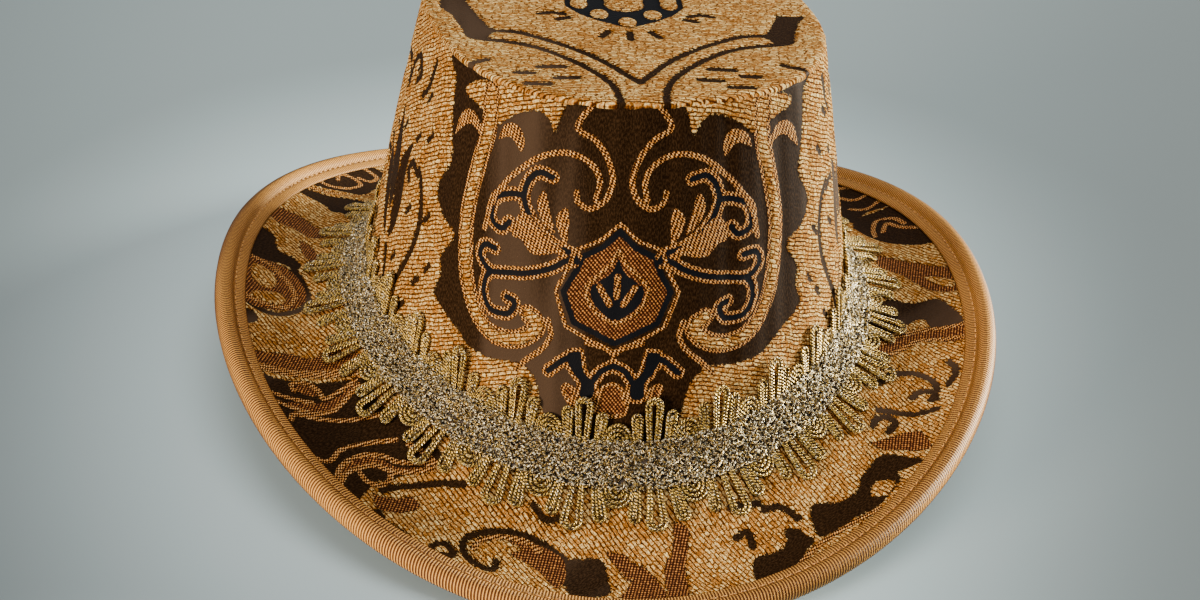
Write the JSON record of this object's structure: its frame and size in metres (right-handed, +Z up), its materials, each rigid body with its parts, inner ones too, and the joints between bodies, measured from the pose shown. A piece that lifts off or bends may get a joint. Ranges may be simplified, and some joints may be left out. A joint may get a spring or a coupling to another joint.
{
  "type": "tapered flat-topped brocade hat with a curved brim",
  "caption": "Tapered flat-topped costume hat in scroll brocade, with a wide curved brim bound in ribbon and a looped gold gimp braid round the foot of the crown.",
  "frame": {"origin": "on the surface that the hat rests on, below the middle of the crown", "axes": "+Z up out of the crown, -Y the front of the hat, +X the wearer's left"},
  "size_m": [0.2772, 0.3142, 0.1358],
  "materials": {
    "brocade": "chenille pile scrolls in tan and gold on dark brown satin",
    "ribbon": "copper-gold grosgrain with a soft sheen",
    "gimp": "metallic gold thread cords"
  },
  "bodies": {
    "root": {"crown_wall": "brocade", "crown_tip": "brocade", "brim": "brocade", "brim_binding": "ribbon", "gimp_braid": "gimp"}
  },
  "joints": []
}
